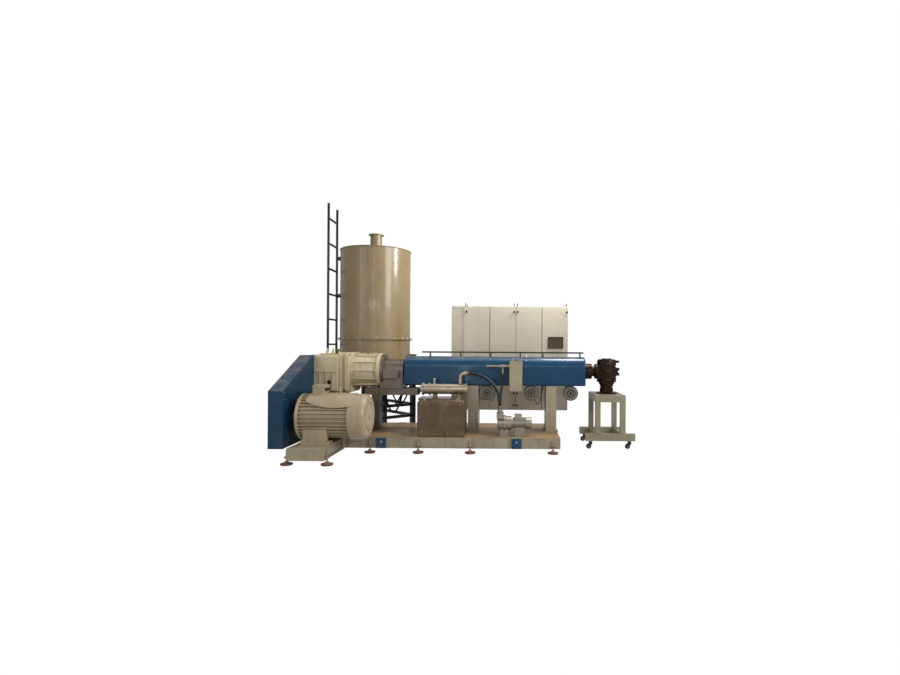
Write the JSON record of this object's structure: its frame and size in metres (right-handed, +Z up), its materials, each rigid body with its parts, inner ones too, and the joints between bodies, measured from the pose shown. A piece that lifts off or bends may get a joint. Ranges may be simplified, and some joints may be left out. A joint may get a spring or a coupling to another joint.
{
  "type": "plastic extruder",
  "caption": "Single-screw plastic extruder on a base frame with drive motor, gearbox, feed silo, covered barrel, cooling tank, vacuum pump, electric cabinet and a wheeled die head stand.",
  "frame": {"origin": "on the floor, under the middle of the bounding box", "axes": "+X along the screw towards the die head, +Y away from the operator side, +Z up"},
  "size_m": [4.667, 3.0748, 3.62],
  "materials": {
    "base_paint": "satin paint with dust",
    "deck_paint": "matte worn paint",
    "foot_paint": "matte paint",
    "guard_paint": "satin paint",
    "motor_paint": "satin paint on cast ribs",
    "gearbox_paint": "satin paint on cast iron",
    "box_paint": "satin paint with dust",
    "rail_paint": "satin paint",
    "feed_steel": "dull steel",
    "silo_paint": "satin paint with tall highlights",
    "dark_paint": "satin paint",
    "cover_paint": "semi-gloss paint",
    "barrel_steel": "heat-stained steel",
    "head_steel": "heat-stained steel",
    "blower_paint": "satin paint",
    "pipe_steel": "dull steel",
    "tank_steel": "reflective sheet",
    "cooler_paint": "satin paint",
    "pump_metal": "cast and machined",
    "hose_rubber": "matte",
    "cabinet_paint": "powder coat",
    "stand_paint": "satin paint",
    "caster_steel": "zinc plated",
    "caster_rubber": "matte"
  },
  "bodies": {
    "machine": {"adapter": "barrel_steel", "barrel": "barrel_steel", "barrel_cover_front": "cover_paint", "barrel_cover_rear": "cover_paint", "barrel_posts": "base_paint", "base_rails": "base_paint", "bearing_housing": "gearbox_paint", "belt_guard": "guard_paint", "blowers": "blower_paint", "cabinet_bay": "cabinet_paint", "cabinet_left": "cabinet_paint", "cabinet_legs": "base_paint", "cabinet_right": "cabinet_paint", "cooler": "cooler_paint", "cooling_tank": "tank_steel", "cover_rail": "rail_paint", "cross_members": "base_paint", "deck_plate": "deck_paint", "die_head": "head_steel", "feed_housing": "feed_steel", "feeder_tube": "feed_steel", "gearbox_housing": "gearbox_paint", "gearbox_pedestal": "base_paint", "inlet_tube": "silo_paint", "ladder_rungs": "dark_paint", "ladder_stiles": "dark_paint", "leveling_feet": "foot_paint", "motor_body": "motor_paint", "motor_cowl": "motor_paint", "motor_hood": "motor_paint", "motor_platform": "base_paint", "pump_motor": "pump_metal", "silo_braces": "dark_paint", "silo_cone": "silo_paint", "silo_legs": "dark_paint", "silo_lower": "silo_paint", "silo_roof": "silo_paint", "silo_upper": "silo_paint", "stand_crossbars": "stand_paint", "stand_legs": "stand_paint", "stand_skids": "stand_paint", "stand_top_frame": "stand_paint", "suction_hose": "hose_rubber", "support_beam": "feed_steel", "vacuum_pump": "pump_metal", "vent_box": "box_paint", "vent_hose": "hose_rubber", "vent_pipe": "pipe_steel"},
    "door_1": {"cabinet_door_1": "cabinet_paint"},
    "door_2": {"cabinet_door_2": "cabinet_paint"},
    "door_3": {"cabinet_door_3": "cabinet_paint"},
    "door_4": {"cabinet_door_4": "cabinet_paint"},
    "fork_1": {"caster_fork_1": "caster_steel"},
    "wheel_1": {"caster_wheel_1": "caster_rubber"},
    "fork_2": {"caster_fork_2": "caster_steel"},
    "wheel_2": {"caster_wheel_2": "caster_rubber"},
    "fork_3": {"caster_fork_3": "caster_steel"},
    "wheel_3": {"caster_wheel_3": "caster_rubber"},
    "fork_4": {"caster_fork_4": "caster_steel"},
    "wheel_4": {"caster_wheel_4": "caster_rubber"}
  },
  "joints": [
    {"name": "door_1_hinge", "type": "hinge", "parent": "machine", "child": "door_1", "pos_m": [-0.1605, 0.5822, 1.24], "axis": [0, 0, -1], "range_deg": [0, 110]},
    {"name": "door_2_hinge", "type": "hinge", "parent": "machine", "child": "door_2", "pos_m": [0.2545, 0.5822, 1.24], "axis": [0, 0, -1], "range_deg": [0, 110]},
    {"name": "door_3_hinge", "type": "hinge", "parent": "machine", "child": "door_3", "pos_m": [1.0785, 0.5822, 1.24], "axis": [0, 0, 1], "range_deg": [0, 110]},
    {"name": "door_4_hinge", "type": "hinge", "parent": "machine", "child": "door_4", "pos_m": [1.4935, 0.5822, 1.24], "axis": [0, 0, 1], "range_deg": [0, 110]},
    {"name": "caster_1_swivel", "type": "hinge", "parent": "machine", "child": "fork_1", "pos_m": [1.7145, -0.3705, 0.1], "axis": [0, 0, 1], "continuous": true},
    {"name": "caster_1_axle", "type": "hinge", "parent": "fork_1", "child": "wheel_1", "pos_m": [1.6885, -0.3705, 0.036], "axis": [0, 1, 0], "continuous": true},
    {"name": "caster_2_swivel", "type": "hinge", "parent": "machine", "child": "fork_2", "pos_m": [1.7145, 0.2195, 0.1], "axis": [0, 0, 1], "continuous": true},
    {"name": "caster_2_axle", "type": "hinge", "parent": "fork_2", "child": "wheel_2", "pos_m": [1.6885, 0.2195, 0.036], "axis": [0, 1, 0], "continuous": true},
    {"name": "caster_3_swivel", "type": "hinge", "parent": "machine", "child": "fork_3", "pos_m": [2.2585, -0.3705, 0.1], "axis": [0, 0, 1], "continuous": true},
    {"name": "caster_3_axle", "type": "hinge", "parent": "fork_3", "child": "wheel_3", "pos_m": [2.2325, -0.3705, 0.036], "axis": [0, 1, 0], "continuous": true},
    {"name": "caster_4_swivel", "type": "hinge", "parent": "machine", "child": "fork_4", "pos_m": [2.2585, 0.2195, 0.1], "axis": [0, 0, 1], "continuous": true},
    {"name": "caster_4_axle", "type": "hinge", "parent": "fork_4", "child": "wheel_4", "pos_m": [2.2325, 0.2195, 0.036], "axis": [0, 1, 0], "continuous": true}
  ]
}
